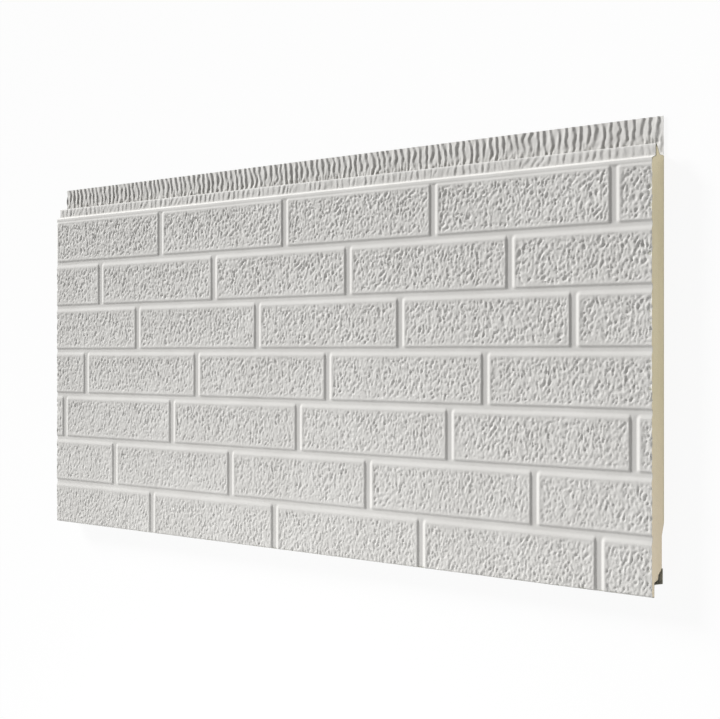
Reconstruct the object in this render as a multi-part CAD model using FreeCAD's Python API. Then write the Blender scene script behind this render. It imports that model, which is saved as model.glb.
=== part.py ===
"""Insulated metal siding panel with an embossed brick face, lying on its back.

A thin painted steel sheet is embossed with courses of bricks and roll-formed along
both long edges: a tongue, a groove and a nailing flange along the top, and a leg and
a hook along the bottom. Rigid foam fills the sheet, and a foil backs the foam.

X runs along the panel, Y up the wall from the leg to the flange, and Z out of the face.
"""

import FreeCAD
import Part
import math
import os

# Overall sizes, in millimetres
panel_length = 1000.0
cover_width = 383.0  # height of wall that one panel covers
panel_thickness = 16.0  # back plane to brick faces
sheet_gauge = 0.3
foil_gauge = 0.1
inner_bend_radius = 0.2  # on the inside of the sheet's folds
joint_clearance = 0.5  # between a tongue and the hook of the panel above

# Brick face
course_count = 7
brick_pitch = 240.0
head_joint_floor = 5.8  # flat width of the upright joints
bed_joint_floor = 2.9  # flat width of the level joints
joint_depth = 1.6
shoulder_run = 3.2  # how far a brick's edge slopes out from its face to the joint floor
brick_corner_radius = 5.0  # of the rounded edge where two sloped sides meet
first_joint_shares = (0.18, 0.73, 0.385, 0.87, 0.08, 0.595, 0.255)  # of the pitch, from the right end
top_joint_inset = 4.4  # centre of the top joint below the cover line

# Top edge: tongue, groove and nailing flange
tongue_setback = 5.1  # tongue's front behind the brick faces
tongue_root_slope = 3.0  # height of the slope from the joint floor back to the tongue
tongue_tip_room = 0.3  # flat left across the tip between its two folds
groove_floor_width = 4.4
groove_floor_rise = 1.0  # groove floor above the cover line
flange_reach = 24.5  # flange above the tongue's tip
flange_standoff = 0.6  # flange's back off the wall

# Bottom edge: leg, hook and the recess that takes the flange of the panel below
leg_height = 11.0
leg_hem_room = 1.4  # between the leg's two layers at an upright joint
leg_foot_radius = 1.5
lip_height = 13.6
lip_clearance = 0.7  # lip in front of the flange of the panel below
recess_depth = 2.8
recess_height = 28.0  # level part, above the hook's lip
recess_ramp_height = 11.5
core_foot_rise = 1.2  # lowest foam behind the leg above the hook's floor

# Levels above the back plane
outer_bend_radius = sheet_gauge + inner_bend_radius
floor_z = panel_thickness - joint_depth
tongue_front_z = panel_thickness - tongue_setback
tongue_tip_width = 2 * outer_bend_radius + tongue_tip_room
flange_front_z = flange_standoff + sheet_gauge
leg_back_z = floor_z - 2 * sheet_gauge - leg_hem_room
lip_back_z = flange_front_z + lip_clearance

# Heights up the wall, from the leg's foot
course_pitch = cover_width / course_count
top_joint_y = cover_width - top_joint_inset
tongue_foot_y = top_joint_y + bed_joint_floor / 2
tongue_tip_y = cover_width + leg_height - joint_clearance
groove_floor_y = cover_width + groove_floor_rise
total_width = tongue_tip_y + flange_reach
lip_top_y = leg_height + lip_height
recess_foot_y = lip_top_y + sheet_gauge
ramp_foot_y = recess_foot_y + recess_height
ramp_top_y = ramp_foot_y + recess_ramp_height
backing_top_y = groove_floor_y - sheet_gauge - outer_bend_radius

shoulder_spread = shoulder_run / joint_depth  # sideways for each millimetre down a brick's edge
shoulder_length = math.hypot(shoulder_run, joint_depth)
corner_turn = math.acos((shoulder_run / shoulder_length) ** 2)  # between two neighbouring sloped sides


def section(y, z):
    """A point of the panel's cross-section."""
    return FreeCAD.Vector(0, y, z)


leg_foot = section(0, floor_z)  # a sharp fold, because the bricks of the lowest course end on it

# Painted side of the sheet, from the flange's edge to the hook's lip
sheet_path = [
    section(total_width, flange_front_z),
    section(groove_floor_y, flange_front_z),
    section(groove_floor_y, flange_front_z + groove_floor_width),
    section(tongue_tip_y, tongue_front_z - tongue_tip_width),
    section(tongue_tip_y, tongue_front_z),
    section(tongue_foot_y + tongue_root_slope, tongue_front_z),
    section(tongue_foot_y, floor_z),
    leg_foot,
    section(0, leg_back_z),
    section(leg_height, leg_back_z),
    section(leg_height, lip_back_z),
    section(lip_top_y, lip_back_z),
]

# Wall side of the foil, from the hook up to the groove
foil_path = [
    section(recess_foot_y, recess_depth),
    section(ramp_foot_y, recess_depth),
    section(ramp_top_y, 0),
    section(backing_top_y, 0),
]


def bent_wire(points, radius, sharp_point):
    """A wire through the points with every corner but one rounded."""
    edges = []
    start = points[0]
    for place in range(1, len(points) - 1):
        corner = points[place]
        if corner == sharp_point:
            edges.append(Part.LineSegment(start, corner).toShape())
            start = corner
            continue
        back = (points[place - 1] - corner).normalize()
        ahead = (points[place + 1] - corner).normalize()
        half_angle = back.getAngle(ahead) / 2
        inward = (back + ahead).normalize()
        middle = corner + inward * (radius / math.sin(half_angle) - radius)
        enter = corner + back * (radius / math.tan(half_angle))
        leave = corner + ahead * (radius / math.tan(half_angle))
        edges.append(Part.LineSegment(start, enter).toShape())
        edges.append(Part.Arc(enter, middle, leave).toShape())
        start = leave
    edges.append(Part.LineSegment(start, points[-1]).toShape())
    return Part.Wire(edges)


def inset_path(points, distance):
    """The path moved toward the foam, with mitred corners."""
    normals = []
    for start, end in zip(points, points[1:]):
        run = (end - start).normalize()
        normals.append(section(-run.z, run.y))
    moved = [points[0] + normals[0] * distance]
    for corner, before, after in zip(points[1:], normals, normals[1:]):
        moved.append(corner + (before + after) * (distance / (1 + before.dot(after))))
    moved.append(points[-1] + normals[-1] * distance)
    return moved


def closed_face(points):
    return Part.Face(Part.makePolygon(points + points[:1]))


def along_panel(face):
    """The cross-section run along the whole panel."""
    prism = face.extrude(FreeCAD.Vector(panel_length, 0, 0))
    prism.translate(FreeCAD.Vector(-panel_length / 2, 0, 0))
    return prism


def edges_between(block, low_z, high_z):
    """Edges of a block that run from one level to the other."""
    found = []
    for edge in block.Edges:
        levels = sorted(vertex.Z for vertex in edge.Vertexes)
        if abs(levels[0] - low_z) < 1e-6 and abs(levels[-1] - high_z) < 1e-6:
            found.append(edge)
    return found


def brick_block(left, right, low, high, skin, root_z, on_leg):
    """One raised brick with sloped edges, set in by skin from the painted surface.

    The four sides are those of its face. It is rooted below the joint floor, and a brick
    on the leg runs down to the leg's foot and is rounded over it. Corners are rounded on
    the painted surface and cut flat behind it.
    """
    set_in = skin * (shoulder_length - shoulder_run) / joint_depth
    face_z = panel_thickness - skin
    spread = (face_z - root_z) * shoulder_spread
    left, right, high = left + set_in, right - set_in, high - set_in
    low = skin if on_leg else low + set_in
    foot = low if on_leg else low - spread
    block = Part.makeWedge(
        left - spread, root_z, -high - spread, -high, left, right + spread, face_z, -foot, -low, right
    )
    block.rotate(FreeCAD.Vector(), FreeCAD.Vector(1, 0, 0), 90)
    middle_y = (low + high) / 2
    corners = edges_between(block, root_z, face_z)
    if on_leg:
        corners = [edge for edge in corners if edge.CenterOfMass.y > middle_y]
    if skin:
        block = block.makeChamfer((brick_corner_radius - skin) * math.tan(corner_turn / 2), corners)
    else:
        block = block.makeFillet(brick_corner_radius, corners)
    if on_leg:
        front = [edge for edge in edges_between(block, face_z, face_z) if edge.BoundBox.YMax < skin + 1e-3]
        block = block.makeFillet(leg_foot_radius - skin, front)
    return block


def bricks(skin, root_z):
    """Every brick of the face, sawn off at the panel's two ends."""
    half_head = head_joint_floor / 2 + shoulder_run
    half_bed = bed_joint_floor / 2 + shoulder_run
    ends = Part.makeBox(
        panel_length, total_width, panel_thickness, FreeCAD.Vector(-panel_length / 2, 0, 0)
    )
    blocks = []
    for course in range(course_count):
        high = top_joint_y - course * course_pitch - half_bed
        low = top_joint_y - (course + 1) * course_pitch + half_bed
        on_leg = course == course_count - 1
        share = first_joint_shares[course % len(first_joint_shares)]
        right = panel_length / 2 + (1 - share) * brick_pitch
        while right > -panel_length / 2:
            left = right - brick_pitch
            block = brick_block(left + half_head, right - half_head, low, high, skin, root_z, on_leg)
            blocks.append(block.common(ends))
            right = left
    return blocks


def face_sheet():
    """Painted steel sheet: formed edges, joint floor and hollow bricks."""
    painted_side = bent_wire(sheet_path, outer_bend_radius, leg_foot)
    strip = along_panel(painted_side.makeOffset2D(-sheet_gauge, 0, True, True))
    outer = bricks(0, floor_z - sheet_gauge / 2)
    hollow = bricks(sheet_gauge, floor_z - 2 * sheet_gauge)
    return strip.multiFuse(outer).cut(Part.makeCompound(hollow)).removeSplitter()


def foam_core(sheet):
    """Rigid foam between the sheet and the foil, short of the hollow in the hook."""
    middle = sheet_gauge / 2
    front = inset_path(sheet_path, middle)[2:9]
    outline = [section(groove_floor_y - middle, flange_front_z + outer_bend_radius)] + front
    outline.append(section(leg_height + sheet_gauge + core_foot_rise, leg_back_z + middle))
    outline += inset_path(foil_path, foil_gauge)
    blank = along_panel(closed_face(outline))
    raised = bricks(middle, floor_z - 2 * sheet_gauge)
    return blank.multiFuse(raised).cut(sheet).removeSplitter()


def back_foil():
    """Thin foil on the foam's back, dipping into the recess."""
    return along_panel(closed_face(foil_path + inset_path(foil_path, foil_gauge)[::-1]))


def export(name, shape):
    """Writes one piece with the panel centred on the origin."""
    shape.translate(FreeCAD.Vector(0, -total_width / 2, 0))
    shape.exportStep(f"parts/{name}.step")
    print(name, len(shape.Solids), "solid,", round(shape.Volume / 1000, 2), "cubic centimetres")


os.makedirs("parts", exist_ok=True)
sheet = face_sheet()
core = foam_core(sheet)
export("face_sheet", sheet)
export("foam_core", core)
export("back_foil", back_foil())
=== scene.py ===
import math
import bpy
import numpy as np
from mathutils import Matrix, Vector


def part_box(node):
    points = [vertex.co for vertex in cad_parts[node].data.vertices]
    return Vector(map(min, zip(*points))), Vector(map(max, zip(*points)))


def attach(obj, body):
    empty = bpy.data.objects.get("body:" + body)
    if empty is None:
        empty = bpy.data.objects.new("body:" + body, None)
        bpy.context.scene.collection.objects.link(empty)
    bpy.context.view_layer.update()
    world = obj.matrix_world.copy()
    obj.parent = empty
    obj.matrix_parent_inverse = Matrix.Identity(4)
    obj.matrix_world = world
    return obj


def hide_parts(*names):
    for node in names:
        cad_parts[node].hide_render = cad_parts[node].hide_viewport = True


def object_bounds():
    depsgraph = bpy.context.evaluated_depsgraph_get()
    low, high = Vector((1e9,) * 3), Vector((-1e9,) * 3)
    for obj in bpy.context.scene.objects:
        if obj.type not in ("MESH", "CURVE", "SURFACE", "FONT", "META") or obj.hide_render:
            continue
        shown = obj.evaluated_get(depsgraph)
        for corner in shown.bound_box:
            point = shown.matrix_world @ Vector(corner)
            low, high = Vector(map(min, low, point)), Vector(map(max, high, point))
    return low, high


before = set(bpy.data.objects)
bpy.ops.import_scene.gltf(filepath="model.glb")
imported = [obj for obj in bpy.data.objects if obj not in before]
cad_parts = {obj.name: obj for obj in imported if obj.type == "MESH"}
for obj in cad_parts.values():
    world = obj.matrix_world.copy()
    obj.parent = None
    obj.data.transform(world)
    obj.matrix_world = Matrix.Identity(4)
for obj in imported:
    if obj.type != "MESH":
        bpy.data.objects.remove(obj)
cadBox = [list(corner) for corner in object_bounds()]
scene = bpy.context.scene
scene.view_settings.view_transform = "Standard"
mm = 0.001

sheetLow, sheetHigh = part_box("face_sheet")
panel = {
    "length": sheetHigh.x - sheetLow.x,
    "foot": sheetLow.y,  # underside of the leg
    "brim": sheetHigh.y,  # top edge of the nailing flange
    "faceZ": sheetHigh.z,  # crest of the bricks
    "jointZ": sheetHigh.z - 1.0 * mm,  # floor of the joints
    "gauge": 0.3 * mm,
    "courses": 7,
    "courseHeight": 383 / 7 * mm,  # height of wall that the panel covers, shared by its courses
    "topJoint": sheetLow.y + 378.6 * mm,  # centre of the joint above the first course
}
print("frame loaded: panel", round(panel["length"], 3), "m long")


# sums of node sockets, written as ordinary sums

def feed(tree, sockets, terms):
    for socket, term in zip(sockets, terms):
        if isinstance(term, Field):
            tree.links.new(term.socket, socket)
        else:
            socket.default_value = term


def mathNode(tree, operation, *terms):
    node = tree.nodes.new("ShaderNodeMath")
    node.operation = operation
    feed(tree, node.inputs, terms)
    return Field(tree, node.outputs[0])


def pairOf(operation, swapped=False):
    def method(self, other):
        terms = (other, self) if swapped else (self, other)
        return mathNode(self.tree, operation, *terms)
    return method


def singleOf(operation):
    def method(self):
        return mathNode(self.tree, operation, self)
    return method


class Field:  # a number that varies over a surface
    def __init__(self, tree, socket):
        self.tree = tree
        self.socket = socket

    __add__ = __radd__ = pairOf("ADD")
    __mul__ = __rmul__ = pairOf("MULTIPLY")
    __sub__ = pairOf("SUBTRACT")
    __rsub__ = pairOf("SUBTRACT", swapped=True)
    __truediv__ = pairOf("DIVIDE")
    atLeast = pairOf("MAXIMUM")
    atMost = pairOf("MINIMUM")
    wrap = pairOf("FLOORED_MODULO")
    sine = singleOf("SINE")
    cosine = singleOf("COSINE")
    root = singleOf("SQRT")
    magnitude = singleOf("ABSOLUTE")

    def ramp(self, low, high, style="LINEAR"):  # 0 at low, 1 at high
        node = self.tree.nodes.new("ShaderNodeMapRange")
        node.interpolation_type = style
        feed(self.tree, node.inputs, (self, low, high))
        return Field(self.tree, node.outputs["Result"])

    def ease(self, low, high):
        return self.ramp(low, high, "SMOOTHSTEP")

    def between(self, low, high):  # low at 0, high at 1
        return self * (high - low) + low


def mixed(first, second, share):  # share of the first, the rest of the second
    return first * share + second * (1 - share)


def noiseField(x, y, layer, size, detail=0.0):  # about -0.5 to 0.5, bumps of the given size in metres
    tree = x.tree
    spot = tree.nodes.new("ShaderNodeCombineXYZ")
    feed(tree, spot.inputs, (x / size, y / size, layer))
    node = tree.nodes.new("ShaderNodeTexNoise")
    tree.links.new(spot.outputs[0], node.inputs["Vector"])
    node.inputs["Scale"].default_value = 1.0
    node.inputs["Detail"].default_value = detail
    return Field(tree, node.outputs["Fac"]) - 0.5


def xyzField(tree, x, y, z):
    node = tree.nodes.new("ShaderNodeCombineXYZ")
    feed(tree, node.inputs, (x, y, z))
    return node.outputs[0]


def splitXyz(tree, vector):
    node = tree.nodes.new("ShaderNodeSeparateXYZ")
    tree.links.new(vector, node.inputs[0])
    return [Field(tree, socket) for socket in node.outputs]


def newShapeTree(name, values, profiled=False):  # one named input for each value
    tree = bpy.data.node_groups.new(name, "GeometryNodeTree")
    tree.interface.new_socket("Mesh", in_out="OUTPUT", socket_type="NodeSocketGeometry")
    kinds = {"Profile": "NodeSocketGeometry"} if profiled else {}
    numberKinds = {float: "NodeSocketFloat", int: "NodeSocketInt"}
    for label, value in values.items():
        kinds[label] = numberKinds.get(type(value), "NodeSocketMaterial")
    for label, kind in kinds.items():
        tree.interface.new_socket(label, in_out="INPUT", socket_type=kind)
    source = tree.nodes.new("NodeGroupInput")
    return tree, {label: Field(tree, source.outputs[label]) for label in kinds}


def endShapeTree(tree, geometry, finish):
    realize = tree.nodes.new("GeometryNodeRealizeInstances")
    paint = tree.nodes.new("GeometryNodeSetMaterial")
    result = tree.nodes.new("NodeGroupOutput")
    tree.links.new(geometry, realize.inputs["Geometry"])
    tree.links.new(realize.outputs["Geometry"], paint.inputs["Geometry"])
    tree.links.new(finish.socket, paint.inputs["Material"])
    tree.links.new(paint.outputs["Geometry"], result.inputs["Mesh"])


def runShapeTree(tree, startMesh, values, wall=0.0):  # plain mesh from a tree, with a wall behind it if asked
    holder = bpy.data.objects.new("holder", startMesh)
    scene.collection.objects.link(holder)
    shaper = holder.modifiers.new("shape", "NODES")
    shaper.node_group = tree
    for socket in tree.interface.items_tree:
        if socket.in_out == "INPUT" and socket.name in values:
            shaper[socket.identifier] = values[socket.name]
    if wall:
        startMesh.materials.append(primer)
        startMesh.materials.append(coat)
        solidify = holder.modifiers.new("wall", "SOLIDIFY")
        solidify.thickness = wall
        solidify.offset = -1
        solidify.material_offset = solidify.material_offset_rim = -1  # primer behind and on the cut edges
    graph = bpy.context.evaluated_depsgraph_get()
    mesh = bpy.data.meshes.new_from_object(holder.evaluated_get(graph))
    holder.modifiers.clear()
    bpy.data.objects.remove(holder)
    return mesh


def addPiece(name, mesh, node, finishes):
    for place, finish in enumerate(finishes):
        if place < len(mesh.materials):
            mesh.materials[place] = finish
        else:
            mesh.materials.append(finish)
    piece = bpy.data.objects.new(name, mesh)
    scene.collection.objects.link(piece)
    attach(piece, "root")
    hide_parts(node)
    return piece


def meshPoints(mesh):
    flat = np.empty(len(mesh.vertices) * 3)
    mesh.vertices.foreach_get("co", flat)
    return flat.reshape(-1, 3)


# finishes

mostNoise = (0.3, 0.7)  # nearly all of a speckle lies in this range


def newFinish(name):
    finish = bpy.data.materials.new(name)
    finish.use_nodes = True
    tree = finish.node_tree
    shader = tree.nodes["Principled BSDF"]
    spot = tree.nodes.new("ShaderNodeTexCoord").outputs["Object"]
    return finish, tree, shader, spot


def speckle(tree, spot, size, detail, stretch=(1, 1, 1)):  # noise of the given bump size in metres
    place = tree.nodes.new("ShaderNodeMapping")
    place.inputs["Scale"].default_value = [axis / size for axis in stretch]
    tree.links.new(spot, place.inputs["Vector"])
    node = tree.nodes.new("ShaderNodeTexNoise")
    node.inputs["Scale"].default_value = 1.0
    node.inputs["Detail"].default_value = detail
    tree.links.new(place.outputs[0], node.inputs["Vector"])
    return Field(tree, node.outputs["Fac"])


def blendColours(tree, amount, first, second):  # of plain colours or colour sockets
    node = tree.nodes.new("ShaderNodeMix")
    node.data_type = "RGBA"
    tree.links.new(amount.socket, node.inputs["Factor"])
    for socket, colour in ((node.inputs["A"], first), (node.inputs["B"], second)):
        if isinstance(colour, tuple):
            socket.default_value = (*colour, 1)
        else:
            tree.links.new(colour, socket)
    return node.outputs["Result"]


def roughen(tree, shader, height, depth):
    bump = tree.nodes.new("ShaderNodeBump")
    bump.inputs["Distance"].default_value = depth
    tree.links.new(height.socket, bump.inputs["Height"])
    tree.links.new(bump.outputs["Normal"], shader.inputs["Normal"])


coilCoat = {
    "light": (0.634, 0.624, 0.602),
    "dark": (0.598, 0.587, 0.565),
    "cloudSize": 60 * mm,
    "peelSize": 1.4 * mm,  # orange peel of the paint
    "peelDepth": 0.05 * mm,
    "roughLow": 0.66,
    "roughHigh": 0.80,
    "specular": 0.13,
}


def coilCoatFinish(look):
    finish, tree, shader, spot = newFinish("warm_white_coil_coat")
    clouds = speckle(tree, spot, look["cloudSize"], 3)
    tone = blendColours(tree, clouds.ease(*mostNoise), look["dark"], look["light"])
    tree.links.new(tone, shader.inputs["Base Color"])
    peel = speckle(tree, spot, look["peelSize"], 2)
    gloss = peel.ramp(*mostNoise).between(look["roughLow"], look["roughHigh"])
    tree.links.new(gloss.socket, shader.inputs["Roughness"])
    roughen(tree, shader, peel, look["peelDepth"])
    shader.inputs["Specular IOR Level"].default_value = look["specular"]
    return finish


primerCoat = {
    "light": (0.46, 0.455, 0.40),
    "dark": (0.34, 0.34, 0.29),
    "streakSize": 5 * mm,  # roller marks along the coil
    "streakStretch": (0.08, 1, 1),
    "streakShare": 0.6,  # the rest of the tone is grain
    "grainSize": 0.6 * mm,
    "roughLow": 0.55,
    "roughHigh": 0.75,
    "specular": 0.3,
}


def primerCoatFinish(look):
    finish, tree, shader, spot = newFinish("grey_primer_back_coat")
    streaks = speckle(tree, spot, look["streakSize"], 3, look["streakStretch"])
    grains = speckle(tree, spot, look["grainSize"], 1).ramp(*mostNoise)
    tone = mixed(streaks.ease(*mostNoise), grains, look["streakShare"])
    tree.links.new(blendColours(tree, tone, look["dark"], look["light"]), shader.inputs["Base Color"])
    gloss = grains.between(look["roughLow"], look["roughHigh"])
    tree.links.new(gloss.socket, shader.inputs["Roughness"])
    shader.inputs["Specular IOR Level"].default_value = look["specular"]
    return finish


rigidFoam = {
    "light": (0.67, 0.60, 0.425),
    "dark": (0.61, 0.545, 0.375),
    "pale": (0.69, 0.60, 0.46),  # paler foam towards the leg
    "paleShare": 0.8,
    "paleFrom": -30 * mm,
    "paleTo": -150 * mm,
    "skin": (0.56, 0.51, 0.36),  # darker foam along the back
    "skinDepth": 1.6 * mm,
    "skinFade": 0.7,  # of that depth, where it starts to fade
    "cellSize": 0.7 * mm,
    "cellRange": (0.25, 0.75),
    "cellShare": 0.5,  # the rest of the tone is streaks
    "cellDepth": 0.25 * mm,
    "streakSize": 3 * mm,  # faint saw streaks across the cut
    "streakStretch": (1, 0.04, 1),
    "roughness": 0.92,
    "specular": 0.15,
}


def rigidFoamFinish(look):
    finish, tree, shader, spot = newFinish("cut_rigid_foam")
    cells = speckle(tree, spot, look["cellSize"], 1)
    streaks = speckle(tree, spot, look["streakSize"], 2, look["streakStretch"])
    tone = mixed(cells.ease(*look["cellRange"]), streaks.ease(*mostNoise), look["cellShare"])
    y, z = splitXyz(tree, spot)[1:]
    # the foam's colour turns paler towards the leg
    paleTowardsLeg = y.ramp(look["paleFrom"], look["paleTo"]) * look["paleShare"]
    # the foam's colour darkens within a thin band along its back
    nearBack = 1 - z.ramp(look["skinDepth"] * look["skinFade"], look["skinDepth"])
    colour = blendColours(tree, tone, look["dark"], look["light"])
    colour = blendColours(tree, paleTowardsLeg, colour, look["pale"])
    colour = blendColours(tree, nearBack, colour, look["skin"])
    tree.links.new(colour, shader.inputs["Base Color"])
    roughen(tree, shader, cells, look["cellDepth"])
    shader.inputs["Roughness"].default_value = look["roughness"]
    shader.inputs["Specular IOR Level"].default_value = look["specular"]
    return finish


backingFoil = {
    "light": (0.82, 0.82, 0.81),
    "dark": (0.70, 0.70, 0.69),
    "crinkleSize": 9 * mm,
    "crinkleShare": 0.6,  # the rest of the tone is rolling lines
    "crinkleDepth": 0.25 * mm,
    "lineSize": 0.5 * mm,  # rolling lines along the foil
    "lineStretch": (0.04, 1, 1),
    "lineRange": (0.2, 0.8),
    "roughLow": 0.28,
    "roughHigh": 0.42,
}


def backingFoilFinish(look):
    finish, tree, shader, spot = newFinish("aluminium_backing_foil")
    crinkle = speckle(tree, spot, look["crinkleSize"], 4)
    lines = speckle(tree, spot, look["lineSize"], 1, look["lineStretch"])
    tone = mixed(crinkle.ease(*mostNoise), lines.ramp(*mostNoise), look["crinkleShare"])
    tree.links.new(blendColours(tree, tone, look["dark"], look["light"]), shader.inputs["Base Color"])
    gloss = lines.ramp(*look["lineRange"]).between(look["roughLow"], look["roughHigh"])
    tree.links.new(gloss.socket, shader.inputs["Roughness"])
    roughen(tree, shader, crinkle, look["crinkleDepth"])
    shader.inputs["Metallic"].default_value = 1.0
    return finish


coat = coilCoatFinish(coilCoat)
primer = primerCoatFinish(primerCoat)
foam = rigidFoamFinish(rigidFoam)
foil = backingFoilFinish(backingFoil)
print("finishes made")


# brick courses: one grid for each course, raised by a rule

courses = {
    "columns": 911,
    "rows": 51,  # of a whole course, from joint to joint
    "rowCrowding": 0.3,  # rows crowd towards the joints
    "backStep": 10,  # columns of the face to each column behind it
    "sharpAngle": math.radians(48),
    "pitch": 240 * mm,
    "firstJoints": (0.18, 0.73, 0.385, 0.87, 0.08, 0.595, 0.255),  # of the pitch, from the right end
    "leftGap": 5.6 * mm,  # joint on the left to the brick's face
    "rightGap": 6.8 * mm,
    "topGap": 5.3 * mm,  # joint above to the top of a brick's face
    "firstTopGap": 2.8 * mm,
    "bottomGap": 4.2 * mm,
    "leftRun": 5.0 * mm,  # sideways run of each rounded edge; the right one is a column wide
    "topRun": 4.3 * mm,
    "firstTopRun": 2.4 * mm,
    "bottomRun": 2.2 * mm,
    "edgeSlope": 0.6,  # straight share of a rounded edge
    "cornerShare": 0.2,  # of a rounded edge that rounds the face's corners too
    "topRise": 0.66 * mm,  # shallower joint under the tongue
    "rightRise": 0.1 * mm,  # floors of the upright joints climb to the steep edge
    "leftSink": 0.3 * mm,  # and fall from there to the long one
    "shoulder": 0.15 * mm,  # faces round off before the steep edge
    "shoulderRun": 3.5 * mm,
    "rimDrop": 0.3 * mm,  # faces dip behind their rims
    "leftRim": 6 * mm,  # how far in from each side the dip is full
    "rightRim": 20 * mm,
    "topRim": 12 * mm,
    "bottomRim": 30 * mm,
    "footRadius": 1.4 * mm,
    "footLevel": sheetHigh.z - 3.05 * mm,  # where the hook takes over
    "footRows": 7,
    "wallRows": 2,  # of those, on the straight run down to the hook
}

grain = {
    "height": 1.68 * mm,
    "fade": 0.05,  # lost with each course further down
    "margin": 4 * mm,  # smooth edge around the grain
    "size": 3.1 * mm,
    "stretch": 1.12,
    "turn": math.radians(28),  # lean of the first course's wrinkles
    "turnStep": math.radians(5.5),  # each course below stands steeper
    "swaySpan": 2.2,  # spans and reach are in grain sizes
    "swayReach": 1.5,
    "swellRange": (-0.22, 0.22),  # of the noise, from hollow to crest
    "swellShare": 0.6,
    "veinSpan": 1.7,
    "veinSlope": 6,
    "veinShare": 0.4,
    "sink": 0.22,  # brings the wrinkles down into the face
    "patchSpan": 4,
    "patchRange": (-0.25, 0.1),
    "patchLow": 0.6,  # grain left in the smoother patches
    "courseSeed": 10.0,  # from one course to the next
    "seeds": {"swayX": 31, "swayY": 57, "vein": 19, "patch": 83},
}


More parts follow.
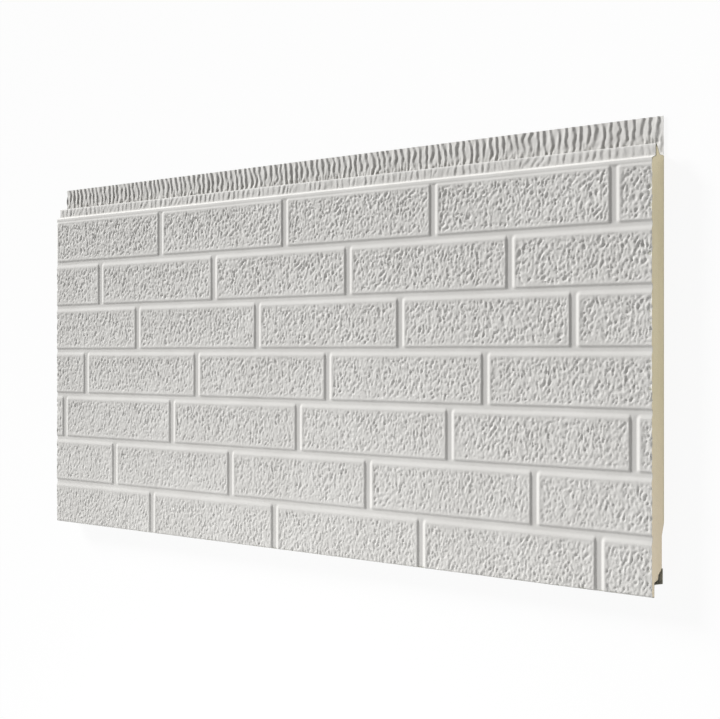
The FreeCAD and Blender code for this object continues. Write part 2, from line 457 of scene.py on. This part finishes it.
def courseTree(values):
    tree, size = newShapeTree("brickCourse", values)
    grid = tree.nodes.new("GeometryNodeMeshGrid")
    feed(tree, grid.inputs, (size["Length"], 1.0, size["Columns"], size["Rows"]))
    x = splitXyz(tree, tree.nodes.new("GeometryNodeInputPosition").outputs[0])[0]
    row = Field(tree, tree.nodes.new("GeometryNodeInputIndex").outputs[0]).wrap(size["Rows"])
    footRow = row.atMost(size["Foot rows"])
    y = size["Bottom"] + footRow * size["Foot step"] + (row - footRow) * size["Row step"]
    height = size["Joint above"] - size["Joint below"]
    turnUp = (y - size["Joint below"]) / height * (2 * math.pi)
    y = y - turnUp.sine() * height * size["Crowding"] / (2 * math.pi)

    # the two columns of each brick's steep right edge are drawn onto it
    columnStep = size["Length"] / (size["Columns"] - 1)
    halfPitch = size["Pitch"] / 2
    pastEdge = (x - size["Joint"] + size["Right gap"] + halfPitch).wrap(size["Pitch"]) - halfPitch
    steps = pastEdge / columnStep
    spare = (steps + 0.5).wrap(1.0) - 0.5
    onEdge = (1.5 - (steps - spare - 0.5).magnitude()).ramp(0.0, 1.0)
    x = x - spare * onEdge * columnStep

    # how far each point lies inside the four sides of its brick, from the joint's floor
    along = (x - size["Joint"]).wrap(size["Pitch"])
    fromLeft = along - size["Left gap"] + size["Left run"]
    fromRight = size["Pitch"] - along - size["Right gap"] + columnStep
    fromTop = size["Joint above"] - y - size["Top gap"] + size["Top run"]
    fromBottom = y - size["Joint below"] - size["Bottom gap"] + size["Bottom run"]
    sides = (
        (fromLeft, size["Left run"], size["Left rim"]),
        (fromRight, columnStep, size["Right rim"]),
        (fromTop, size["Top run"], size["Top rim"]),
        (fromBottom, size["Bottom run"], size["Bottom rim"]),
    )
    kept = 1 - size["Corner share"]
    left, right, top, bottom = [(1 - reach * kept / run).atLeast(0.0) for reach, run, rim in sides]
    sideways = left.atLeast(right)
    upright = top.atLeast(bottom)
    fall = (sideways * sideways + upright * upright).root()
    inward = (1 - fall) / kept
    edge = mixed(inward.ramp(0.0, 1.0), inward.ease(0.0, 1.0), size["Edge slope"])

    # the face dips behind its rim and rounds off before the steep edge, and the grain has a smooth margin
    dip = size["Rim drop"]
    grown = size["Grain height"]
    for reach, run, rim in sides:
        dip = dip * (reach - run).ease(0.0, rim)
        grown = grown * (reach - run).ease(0.0, size["Margin"])
    rounding = (1 - (fromRight - columnStep) / size["Shoulder run"]).ramp(0.0, 1.0)
    dip = dip + rounding * rounding * edge * size["Shoulder"]

    # wrinkles that lean with the grain, broken up by smoother patches
    layer = size["Layer"]
    seeds = grain["seeds"]
    grainSize = size["Grain size"]
    turnCos = size["Grain turn"].cosine()
    turnSin = size["Grain turn"].sine()
    swaySpan = grainSize * grain["swaySpan"]
    swayX = noiseField(x, y, layer + seeds["swayX"], swaySpan) * grainSize * grain["swayReach"]
    swayY = noiseField(x, y, layer + seeds["swayY"], swaySpan) * grainSize * grain["swayReach"]
    lengthwise = ((x + swayX) * turnCos + (y + swayY) * turnSin) / size["Grain stretch"]
    crosswise = (y + swayY) * turnCos - (x + swayX) * turnSin
    swell = noiseField(lengthwise, crosswise, layer, grainSize, 1.0).ease(*grain["swellRange"])
    vein = noiseField(lengthwise, crosswise, layer + seeds["vein"], grainSize * grain["veinSpan"])
    vein = (vein.magnitude() * grain["veinSlope"]).atMost(1.0)
    wrinkle = swell * grain["swellShare"] - vein * grain["veinShare"] - grain["sink"]
    patch = noiseField(x, y, layer + seeds["patch"], grainSize * grain["patchSpan"])
    patch = patch.ease(*grain["patchRange"]).between(grain["patchLow"], 1.0)

    # joint floors: shallower under the tongue, and the upright ones tilt
    floorRise = (y - size["Joint above"]).ease(size["Top gap"] * -1, 0.0) * size["Top rise"]
    headFloor = size["Right gap"] + size["Left gap"] - size["Left run"]
    beside = fromTop.ease(0.0, size["Top run"]) * fromBottom.ease(0.0, size["Bottom run"])
    across = (pastEdge / headFloor).ramp(0.0, 1.0)
    floorRise = floorRise + beside * (size["Right rise"] - across * across * size["Left sink"])
    crown = size["Joint level"] + size["Depth"]
    level = crown - (size["Depth"] - floorRise) * (1 - edge) - dip + wrinkle * patch * grown
    level = level.atMost(crown)

    # the lowest course rounds over the leg's foot and runs down to the hook
    radius = size["Foot radius"]
    arcStart = size["Foot"] + radius
    past = (arcStart - y).atLeast(0.0)
    turn = (past / radius).atMost(math.pi / 2)
    wallShare = (past - radius * (math.pi / 2)) / size["Foot step"]
    wallShare = (wallShare / size["Wall rows"]).ramp(0.0, 1.0)
    roundY = y.atLeast(arcStart) - radius * turn.sine()
    roundZ = level - radius * (1 - turn.cosine())
    z = roundZ * (1 - wallShare) + size["Foot level"] * wallShare

    place = tree.nodes.new("GeometryNodeSetPosition")
    tree.links.new(grid.outputs["Mesh"], place.inputs["Geometry"])
    tree.links.new(xyzField(tree, x, roundY, z), place.inputs["Position"])
    endShapeTree(tree, place.outputs["Geometry"], size["Finish"])
    return tree


def courseValues(look, course):  # the tree's inputs for one course, counted from the top
    above = panel["topJoint"] - course * panel["courseHeight"]
    below = above - panel["courseHeight"]
    onFoot = below < panel["foot"]
    rows = look["rows"]
    rowStep = panel["courseHeight"] / (rows - 1)
    bottom, footRows, footStep = below, 0, rowStep
    if onFoot:
        arcStart = panel["foot"] + look["footRadius"]
        footRows = look["footRows"]
        footStep = look["footRadius"] * math.pi / 2 / (footRows - look["wallRows"])
        bottom = arcStart - footRows * footStep
        rows = footRows + 1 + round((above - arcStart) / rowStep)
        rowStep = (above - arcStart) / (rows - 1 - footRows)
    return {
        "Length": panel["length"], "Columns": look["columns"], "Rows": rows,
        "Bottom": bottom, "Row step": rowStep, "Crowding": 0.0 if onFoot else look["rowCrowding"],
        "Foot": panel["foot"] if onFoot else -1.0, "Foot rows": footRows, "Foot step": footStep,
        "Foot radius": look["footRadius"], "Foot level": look["footLevel"], "Wall rows": look["wallRows"],
        "Joint": panel["length"] / 2 - look["firstJoints"][course] * look["pitch"], "Pitch": look["pitch"],
        "Joint above": above, "Joint below": -1.0 if onFoot else below,
        "Joint level": panel["jointZ"], "Depth": panel["faceZ"] - panel["jointZ"],
        "Left gap": look["leftGap"], "Right gap": look["rightGap"],
        "Top gap": look["topGap"] if course else look["firstTopGap"], "Bottom gap": look["bottomGap"],
        "Left run": look["leftRun"], "Top run": look["topRun"] if course else look["firstTopRun"],
        "Bottom run": look["bottomRun"], "Edge slope": look["edgeSlope"], "Corner share": look["cornerShare"],
        "Top rise": 0.0 if course else look["topRise"],
        "Right rise": look["rightRise"], "Left sink": look["leftSink"],
        "Shoulder": look["shoulder"], "Shoulder run": look["shoulderRun"],
        "Rim drop": look["rimDrop"], "Left rim": look["leftRim"], "Right rim": look["rightRim"],
        "Top rim": look["topRim"], "Bottom rim": look["bottomRim"], "Margin": grain["margin"],
        "Grain height": grain["height"] * (1 - course * grain["fade"]), "Grain size": grain["size"],
        "Grain stretch": grain["stretch"], "Grain turn": grain["turn"] + course * grain["turnStep"],
        "Layer": grain["courseSeed"] * course, "Finish": coat,
    }


def closeCourse(front, tilt, look):  # thin closed sheet: fine face, coarser back that stays under it
    columns, rows = front.shape[:2]
    step = look["backStep"]
    picks = np.arange(0, columns, step)
    back = front[picks].copy()
    for place, pick in enumerate(picks):
        reach = step if 0 < pick < columns - 1 else 0
        near = front[pick - reach:pick + reach + 1, :, 2].min(axis=0)
        spread = np.minimum(near, np.minimum(np.roll(near, 1), np.roll(near, -1))) if reach else near
        back[place, :, 2] = np.where(tilt > 0, back[place, :, 2], spread)
    back[:, :, 1] += panel["gauge"] * np.sin(tilt)
    back[:, :, 2] -= panel["gauge"] * np.cos(tilt)
    faceIndex = np.arange(columns * rows).reshape(columns, rows)
    backIndex = faceIndex.size + np.arange(back.shape[0] * rows).reshape(-1, rows)

    def quads(index):
        corners = (index[:-1, :-1], index[1:, :-1], index[1:, 1:], index[:-1, 1:])
        return np.stack([corner.ravel() for corner in corners], axis=1).tolist()

    faces = quads(faceIndex)
    painted = len(faces)
    faces += quads(backIndex[:, ::-1])
    faces += quads(np.stack([backIndex[0], faceIndex[0]]))  # left end
    faces += quads(np.stack([faceIndex[-1], backIndex[-1]]))  # right end
    for place in range(len(picks) - 1):  # long sides
        run = faceIndex[picks[place]:picks[place + 1] + 1]
        faces.append([*run[::-1, 0].tolist(), backIndex[place, 0], backIndex[place + 1, 0]])
        faces.append([*run[:, -1].tolist(), backIndex[place + 1, -1], backIndex[place, -1]])
    mesh = bpy.data.meshes.new("course")
    points = np.concatenate([front.reshape(-1, 3), back.reshape(-1, 3)])
    mesh.from_pydata(points.tolist(), [], faces)
    mesh.polygons.foreach_set("material_index", [0] * painted + [1] * (len(faces) - painted))
    mesh.shade_smooth()
    mesh.set_sharp_from_angle(angle=look["sharpAngle"])
    return mesh


def addCourses(look):
    tree = courseTree(courseValues(look, 0))
    ends = []  # painted surface at the left and right end of each course, for the foam to follow
    for course in range(panel["courses"]):
        values = courseValues(look, course)
        shaped = runShapeTree(tree, bpy.data.meshes.new("start"), values)
        front = meshPoints(shaped).reshape(look["columns"], values["Rows"], 3)
        bpy.data.meshes.remove(shaped)
        footRows = values["Foot rows"]
        footY = values["Bottom"] + values["Foot step"] * np.arange(footRows)
        past = (panel["foot"] + look["footRadius"] - footY) / look["footRadius"]
        tilt = np.zeros(values["Rows"])
        tilt[:footRows] = np.clip(past, 0, math.pi / 2)
        mesh = closeCourse(front, tilt, look)
        addPiece(f"brick_course_{course + 1}", mesh, "face_sheet", (coat, primer))
        ends.append((front[0, :, 1:], front[-1, :, 1:]))
    print("brick courses made")
    return ends


courseEnds = addCourses(courses)


# formed edges: a folded profile swept along the panel, ribbed where the coil was embossed

edges = {
    "bend": 0.5 * mm,  # outer radius of every fold
    "bendSteps": 2,
    "straight": math.radians(88),  # half the angle past which there is no fold to speak of
    "sharpAngle": math.radians(65),
    "hookColumns": 41,
    "tongueZ": sheetHigh.z - 5.1 * mm,
    "tongueFoot": panel["foot"] + 381.2 * mm,
    "tongueSlope": 1.9 * mm,
    "topJointZ": panel["jointZ"] + courses["topRise"],
    "tongueTip": panel["foot"] + 393.5 * mm,
    "tipWidth": 1.3 * mm,
    "grooveY": panel["foot"] + 384 * mm,
    "grooveZ": 5.3 * mm,
    "flangeZ": 0.9 * mm,
    "legZ": sheetHigh.z - 3.6 * mm,
    "legHeight": 11 * mm,
    "lipZ": 1.6 * mm,
    "lipTop": panel["foot"] + 24.6 * mm,
}

ribs = {
    "columns": 981,
    "step": 1.5 * mm,  # rows on the ribbed runs
    "levelSlack": 0.01 * mm,  # points this near to a run's level are on it
    "pitch": 9.2 * mm,
    "flangeHeight": 1.12 * mm,
    "tongueHeight": 0.7 * mm,
    "rightFade": 0.25,  # ribs are lower towards the right end
    "fade": 1.6 * mm,  # smooth ends of the tongue's ribs
    "swaySize": 17 * mm,
    "swayScale": (0.7, 1.2),  # along the panel and up the wall
    "sway": 9.0 * mm,
    "wobble": 4.5 * mm,  # ragged edges of single ribs
    "leftLean": 0.24,  # sideways for each step up the flange, at either end
    "rightLean": -0.1,
    "lowLean": -0.12,
    "lowLeanTop": 11 * mm,
    "tongueLean": 0.9,  # of the tongue's ribs, in places
    "leanRange": (0.05, 0.14),
    "lowBand": 15 * mm,  # forks and curls above the tongue's tip
    "tongueForks": 0.4,
    "forkRange": (-0.06, 0.05),
    "forkWaves": 1.8,  # finer waves to each rib, where it forks
    "forkCurl": 6,
    "forkHeight": 0.6,
    "overtones": (0.4, 0.12),  # give each rib a short flank on the right
    "waveShare": 0.42,
    "brokenShare": 0.8,
    "raggedness": 2.4,  # of forked ribs
    "smoothRange": (0.06, 0.16),
    "smoothShare": 0.8,  # of a rib's height, lost in smooth places
    "crestLimit": 0.6,
    "lift": 0.1,  # of the rib height, for crests and hollows alike
    "seed": 5.0,
    "noises": {  # seed, size in pitches, and scale up the wall, where less draws it out along a rib
        "lean": (41, 4, 1),
        "wobble": (11, 0.9, 1),
        "finer": (53, 1, 1),
        "fork": (61, 3, 0.5),
        "broken": (23, 0.7, 0.45),
        "ragged": (37, 0.5, 1),
        "smooth": (71, 1.8, 0.7),
    },
}


def foldedPath(corners, look):  # corners rounded by short arcs
    radius = look["bend"]
    path = [Vector(corners[0])]
    for before, corner, after in zip(corners, corners[1:], corners[2:]):
        corner = Vector(corner)
        back = (Vector(before) - corner).normalized()
        ahead = (Vector(after) - corner).normalized()
        half = back.angle(ahead) / 2
        if half > look["straight"]:
            path.append(corner)
            continue
        reach = radius / math.tan(half)
        centre = corner + (back + ahead).normalized() * (radius / math.sin(half))
        start = corner + back * reach - centre
        end = corner + ahead * reach - centre
        for step in range(look["bendSteps"] + 1):
            path.append(centre + start.lerp(end, step / look["bendSteps"]).normalized() * radius)
    path.append(Vector(corners[-1]))
    return path


def easeStep(value):
    value = min(max(value, 0.0), 1.0)
    return value * value * (3 - 2 * value)


def profileMesh(path, ribbing, step):  # rib height and share of forks ride on the points of the profile
    points = [path[0]]
    for start, end in zip(path, path[1:]):
        pieces = max(1, round((end - start).length / step)) if ribbing((start + end) / 2)[0] else 1
        points += [start.lerp(end, piece / pieces) for piece in range(1, pieces + 1)]
    mesh = bpy.data.meshes.new("profile")
    spots = [(0, point.x, point.y) for point in points]
    mesh.from_pydata(spots, [(n, n + 1) for n in range(len(points) - 1)], [])
    for place, label in enumerate(("ribHeight", "ribForks")):
        mark = mesh.attributes.new(label, "FLOAT", "POINT")
        mark.data.foreach_set("value", [ribbing(point)[place] for point in points])
    return mesh


def edgeTree(values):
    tree, size = newShapeTree("formedEdge", values, profiled=True)
    grid = tree.nodes.new("GeometryNodeMeshGrid")
    count = tree.nodes.new("GeometryNodeAttributeDomainSize")
    tree.links.new(size["Profile"].socket, count.inputs["Geometry"])
    rows = Field(tree, count.outputs["Point Count"])
    feed(tree, grid.inputs, (size["Length"], 1.0, size["Columns"], rows))
    x = splitXyz(tree, tree.nodes.new("GeometryNodeInputPosition").outputs[0])[0]
    row = Field(tree, tree.nodes.new("GeometryNodeInputIndex").outputs[0]).wrap(rows)

    def sample(value, kind, index):
        node = tree.nodes.new("GeometryNodeSampleIndex")
        node.data_type = kind
        node.clamp = True
        tree.links.new(size["Profile"].socket, node.inputs["Geometry"])
        tree.links.new(value, node.inputs["Value"])
        tree.links.new(index.socket, node.inputs["Index"])
        return node.outputs[0]

    def carried(label):  # value that rides on the profile
        mark = tree.nodes.new("GeometryNodeInputNamedAttribute")
        mark.data_type = "FLOAT"
        mark.inputs["Name"].default_value = label
        return Field(tree, sample(mark.outputs["Attribute"], "FLOAT", row))

    # place on the profile, and its direction there
    spot = tree.nodes.new("GeometryNodeInputPosition").outputs[0]
    y, z = splitXyz(tree, sample(spot, "FLOAT_VECTOR", row))[1:]
    nextY, nextZ = splitXyz(tree, sample(spot, "FLOAT_VECTOR", row + 1))[1:]
    lastY, lastZ = splitXyz(tree, sample(spot, "FLOAT_VECTOR", row - 1))[1:]
    runY = nextY - lastY
    runZ = nextZ - lastZ
    runLength = (runY * runY + runZ * runZ).root()

    layer = size["Layer"]
    pitch = size["Rib pitch"]

    def ribNoise(name, up=y):
        seed, span, scale = ribs["noises"][name]
        return noiseField(x, up * scale, layer + seed, pitch * span)

    # ribs sway together, and lean in places on the tongue and up the flange
    lean = ribNoise("lean", layer).ease(*ribs["leanRange"]) * size["Tongue lean"]
    scaleX, scaleY = ribs["swayScale"]
    sway = noiseField(x * scaleX, y * scaleY, layer, size["Sway size"], 1.0) * size["Sway"]
    sway = sway + ribNoise("wobble") * size["Wobble"]
    upTip = y - size["Tongue tip"]
    sway = sway - upTip.atMost(0.0) * lean
    share = x / size["Length"] + 0.5
    share = share * share  # 0 at the left end, 1 at the right
    highLean = size["Left lean"] + (size["Right lean"] - size["Left lean"]) * share * share
    sway = sway + upTip.atLeast(0.0).atMost(size["Low lean top"]) * size["Low lean"]
    sway = sway + (upTip - size["Low lean top"]).atLeast(0.0) * highLean

    # they fork, curl and smooth out low on the flange
    phase = (x + sway) * (2 * math.pi) / pitch
    second, third = ribs["overtones"]
    wave = phase.sine() - (phase * 2).sine() * second + (phase * 3).sine() * third
    finer = (phase * ribs["forkWaves"] + ribNoise("finer") * ribs["forkCurl"]).sine() * ribs["forkHeight"]
    forks = carried("ribForks")
    forked = forks * ribNoise("fork").ease(*ribs["forkRange"])
    broken = ribNoise("broken") + forks * ribNoise("ragged") * ribs["raggedness"]
    crest = (wave + (finer - wave) * forked) * ribs["waveShare"] + broken * ribs["brokenShare"]
    crest = crest.atLeast(-ribs["crestLimit"]).atMost(ribs["crestLimit"])
    smooth = forks * ribNoise("smooth").ease(*ribs["smoothRange"])
    ribHeight = carried("ribHeight") * (1 - share * size["Right fade"])
    rise = (crest * (1 - smooth * ribs["smoothShare"]) + ribs["lift"]) * ribHeight

    place = tree.nodes.new("GeometryNodeSetPosition")
    tree.links.new(grid.outputs["Mesh"], place.inputs["Geometry"])
    spread = xyzField(tree, x, y - rise * runZ / runLength, z + rise * runY / runLength)
    tree.links.new(spread, place.inputs["Position"])
    shade = tree.nodes.new("GeometryNodeSetShadeSmooth")
    tree.links.new(place.outputs["Geometry"], shade.inputs["Geometry"])
    endShapeTree(tree, shade.outputs["Geometry"], size["Finish"])
    return tree


def edgeValues(look, rib, columns):  # the tree's inputs for one formed edge
    return {
        "Length": panel["length"], "Columns": columns,
        "Rib pitch": rib["pitch"], "Right fade": rib["rightFade"],
        "Sway": rib["sway"], "Sway size": rib["swaySize"], "Wobble": rib["wobble"],
        "Left lean": rib["leftLean"], "Right lean": rib["rightLean"],
        "Low lean": rib["lowLean"], "Low lean top": rib["lowLeanTop"],
        "Tongue tip": look["tongueTip"], "Tongue lean": rib["tongueLean"],
        "Layer": rib["seed"], "Finish": coat,
    }


topCorners = [
    (panel["topJoint"], edges["topJointZ"]),
    (edges["tongueFoot"], edges["topJointZ"]),
    (edges["tongueFoot"] + edges["tongueSlope"], edges["tongueZ"]),
    (edges["tongueTip"], edges["tongueZ"]),
    (edges["tongueTip"], edges["tongueZ"] - edges["tipWidth"]),
    (edges["grooveY"], edges["grooveZ"]),
    (edges["grooveY"], edges["flangeZ"]),
    (panel["brim"], edges["flangeZ"]),
]
hookCorners = [
    (edges["lipTop"], edges["lipZ"]),
    (panel["foot"] + edges["legHeight"], edges["lipZ"]),
    (panel["foot"] + edges["legHeight"], edges["legZ"]),
    (panel["foot"], edges["legZ"]),
    (panel["foot"], courses["footLevel"]),
]


def topRibbing(point):  # rib height and share of forks at a point of the top profile
    tip = edges["tongueTip"]
    if abs(point.y - edges["flangeZ"]) < ribs["levelSlack"]:
        height = ribs["flangeHeight"] * easeStep((point.x - edges["grooveY"]) / (tip - edges["grooveY"]))
        return height, 1 - easeStep((point.x - tip) / ribs["lowBand"])
    foot = edges["tongueFoot"] + edges["tongueSlope"]
    if abs(point.y - edges["tongueZ"]) < ribs["levelSlack"] and foot < point.x < tip:
        inside = min(point.x - foot, tip - point.x)
        return ribs["tongueHeight"] * easeStep(inside / ribs["fade"]), ribs["tongueForks"]
    return 0.0, 0.0


def plainSheet(point):
    return 0.0, 0.0


def addFormedEdges(look, rib):
    tree = edgeTree(edgeValues(look, rib, rib["columns"]))
    jobs = (
        ("top_edge", topCorners, topRibbing, rib["columns"]),
        ("hook_edge", hookCorners, plainSheet, look["hookColumns"]),
    )
    for name, corners, ribbing, columns in jobs:
        profile = profileMesh(foldedPath(corners, look), ribbing, rib["step"])
        mesh = runShapeTree(tree, profile, edgeValues(look, rib, columns), wall=panel["gauge"])
        points = np.clip(meshPoints(mesh), *cadBox)  # the wall's corners stay in the panel's box
        mesh.vertices.foreach_set("co", points.ravel())
        mesh.set_sharp_from_angle(angle=look["sharpAngle"])
        addPiece(name, mesh, "face_sheet", (primer, coat))
    print("formed edges made")


addFormedEdges(edges, ribs)


# foam: the section at each end follows the sheet, and it is sunk a little between them

foamCore = {
    "tongueRoom": 1.0 * mm,  # behind the tongue's sheet
    "tipRoom": 2.0 * mm,  # below the tongue's tip
    "tipBack": 0.12 * mm,  # in front of the tip's back
    "recessDepth": 2.8 * mm,
    "recessFoot": panel["foot"] + 24.9 * mm,
    "rampFoot": panel["foot"] + 52.9 * mm,
    "rampTop": panel["foot"] + 64.4 * mm,
    "backTop": panel["foot"] + 383.2 * mm,
    "footRise": 1.5 * mm,  # lowest foam above the hook's floor
    "hemTop": panel["foot"] + 0.8 * mm,  # the leg's two layers meet below
    "filled": 0.55,  # of the hook's hollow, behind the crumbled ends
    "foilGauge": 0.1 * mm,
    "sunk": 2.2 * mm,  # front between the ends, under the sheet
    "endDepth": 3 * mm,
}


def foamSection(look, side, filled):  # outline at one end, from the groove over the front to the recess
    gauge = panel["gauge"]
    tipY = edges["tongueTip"] - look["tipRoom"]
    tongueZ = edges["tongueZ"] - look["tongueRoom"]
    tongue = [
        (edges["grooveY"] - gauge, edges["flangeZ"] + edges["bend"]),
        (edges["grooveY"] - gauge, edges["grooveZ"] + gauge),
        (tipY, edges["tongueZ"] - edges["tipWidth"] + look["tipBack"]),
        (tipY, tongueZ),
        (edges["tongueFoot"] + edges["tongueSlope"] - gauge, tongueZ),
        (edges["tongueFoot"] - gauge, panel["jointZ"] - gauge),
    ]
    front = []
    for ends in courseEnds:
        rows = [(y, z - gauge) for y, z in ends[side][::-1] if y > look["hemTop"]]
        front += rows[1 if front else 0:]
    hookFloor = panel["foot"] + edges["legHeight"] + gauge
    low = Vector((hookFloor + look["footRise"], edges["legZ"] + gauge))
    high = Vector((look["recessFoot"], look["recessDepth"] + look["foilGauge"]))
    corner = Vector((hookFloor, edges["lipZ"] + gauge))
    middle = (low + high) / 2
    foot = [
        (look["hemTop"] - gauge, edges["legZ"] + gauge),
        tuple(low),
        tuple(middle.lerp(corner, filled)),
        tuple(high),
        (look["rampFoot"], look["recessDepth"] + look["foilGauge"]),
        (look["rampTop"], look["foilGauge"]),
        (look["backTop"], look["foilGauge"]),
    ]
    return np.array(tongue + front + foot), len(tongue), len(front)


def addFoam(look):
    half = panel["length"] / 2
    stations = []
    for side, end in enumerate((-half, half)):
        outline, lead, count = foamSection(look, side, 0.0)
        sunk = foamSection(look, side, look["filled"])[0]
        sunk[lead:lead + count, 1] -= look["sunk"]
        inward = end - math.copysign(look["endDepth"], end)
        pair = [(end, outline), (inward, sunk)]
        stations += pair if end < 0 else pair[::-1]
    points = [(x, y, z) for x, outline in stations for y, z in outline]
    ring = len(stations[0][1])
    last = len(points) - ring
    faces = [list(range(ring)), list(range(len(points) - 1, last - 1, -1))]
    for first in range(0, last, ring):
        for n in range(ring):
            here = first + n
            there = first + (n + 1) % ring
            faces.append((there, here, here + ring, there + ring))
    mesh = bpy.data.meshes.new("foam_core_body")
    mesh.from_pydata(points, [], faces)
    print("foam made")
    return addPiece("foam_core_body", mesh, "foam_core", (foam,))


foamPiece = addFoam(foamCore)


# foil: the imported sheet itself, with a better finish

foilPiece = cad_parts["back_foil"]
foilPiece.data.materials.clear()
foilPiece.data.materials.append(foil)


# floor, light and camera

studio = {
    "floorSize": 14.0,
    "floorDrop": 0.2 * mm,  # clear of the panel's back
    "floorTone": (0.9, 0.9, 0.9),
    "whiteShare": 0.92,  # of the floor that the camera sees as plain white
    "fill": 0.2,  # even light from all round
    "keyFrom": (-1.85, 1.0, 0.54),
    "keyLevel": 0.545,  # light on a level white surface
    "keyAngle": math.radians(12),
    "softLamps": (  # place, width, height, power
        ((-0.1, -1.0, 0.5), 0.6, 0.6, 6.0),  # low in front of the leg
        ((2.0, -0.1, 0.4), 0.8, 0.8, 6.5),  # beside the sawn end
        ((2.0, -0.35, 0.008), 0.8, 0.012, 6.3),  # level with it
    ),
}


def seenDirectly(tree):  # 1 for rays that show the background
    path = tree.nodes.new("ShaderNodeLightPath")
    camera, glossy, through = [
        Field(tree, path.outputs[name]) for name in ("Is Camera Ray", "Is Glossy Ray", "Is Transmission Ray")
    ]
    return (camera + glossy + through).atMost(1.0)


def mixShaders(tree, share, plain, white, result):
    mix = tree.nodes.new("ShaderNodeMixShader")
    tree.links.new(share.socket, mix.inputs[0])
    tree.links.new(plain.outputs[0], mix.inputs[1])
    tree.links.new(white.outputs[0], mix.inputs[2])
    tree.links.new(mix.outputs[0], result.inputs["Surface"])


def addFloor(look):
    finish = bpy.data.materials.new("pale_studio_floor")
    finish.use_nodes = True
    tree = finish.node_tree
    tree.nodes.clear()
    matt = tree.nodes.new("ShaderNodeBsdfDiffuse")
    matt.inputs["Color"].default_value = (*look["floorTone"], 1)
    white = tree.nodes.new("ShaderNodeEmission")
    white.inputs["Strength"].default_value = 1.0
    result = tree.nodes.new("ShaderNodeOutputMaterial")
    mixShaders(tree, seenDirectly(tree) * look["whiteShare"], matt, white, result)
    half = look["floorSize"] / 2
    corners = [(-half, -half, 0), (half, -half, 0), (half, half, 0), (-half, half, 0)]
    mesh = bpy.data.meshes.new("studio_floor")
    mesh.from_pydata(corners, [], [(0, 1, 2, 3)])
    mesh.materials.append(finish)
    floor = bpy.data.objects.new("studio_floor", mesh)
    floor.location.z = -look["floorDrop"]
    scene.collection.objects.link(floor)


def addWorld(look):
    world = bpy.data.worlds.new("studio")
    world.use_nodes = True
    tree = world.node_tree
    tree.nodes.clear()
    soft, white = [tree.nodes.new("ShaderNodeBackground") for _ in range(2)]
    for light in (soft, white):
        light.inputs["Color"].default_value = (1, 1, 1, 1)
    soft.inputs["Strength"].default_value = look["fill"]
    mixShaders(tree, seenDirectly(tree), soft, white, tree.nodes.new("ShaderNodeOutputWorld"))
    scene.world = world


def addLamp(name, kind, source, power):  # shines from the source towards the panel's middle
    lamp = bpy.data.objects.new(name, bpy.data.lights.new(name, kind))
    lamp.data.energy = power
    lamp.rotation_mode = "QUATERNION"
    lamp.rotation_quaternion = source.to_track_quat("Z", "Y")
    scene.collection.objects.link(lamp)
    return lamp


def addLight(look):
    addWorld(look)
    towards = Vector(look["keyFrom"]).normalized()
    key = addLamp("key", "SUN", towards, look["keyLevel"] * math.pi / towards.z)
    key.data.angle = look["keyAngle"]
    shaded = bpy.data.collections.new("foam_out_of_key_light")  # the low key would burn out the left sawn end
    shaded.objects.link(foamPiece)
    shaded.collection_objects[0].light_linking.link_state = "EXCLUDE"
    key.light_linking.receiver_collection = shaded
    for place, width, height, power in look["softLamps"]:
        soft = addLamp("soft", "AREA", Vector(place), power)
        soft.location = place
        soft.data.shape = "RECTANGLE"
        soft.data.size = width
        soft.data.size_y = height


view = {
    "place": (1.6203, 0.002, 1.2649),
    "right": (0.6357, 0, -0.7720),
    "up": (0, 1, 0),
    "lens": 96,
    "sensor": 36,
    "shiftY": -0.0078,
}


def addCamera(look):
    data = bpy.data.cameras.new("camera")
    data.sensor_fit = "HORIZONTAL"
    data.sensor_width = look["sensor"]
    data.lens = look["lens"]
    data.shift_y = look["shiftY"]
    camera = bpy.data.objects.new("camera", data)
    right = Vector(look["right"]).normalized()
    up = Vector(look["up"])
    turned = Matrix((right, up, right.cross(up))).transposed()
    camera.matrix_world = Matrix.Translation(look["place"]) @ turned.to_4x4()
    scene.collection.objects.link(camera)
    scene.camera = camera


addFloor(studio)
addLight(studio)
addCamera(view)
print("studio made")
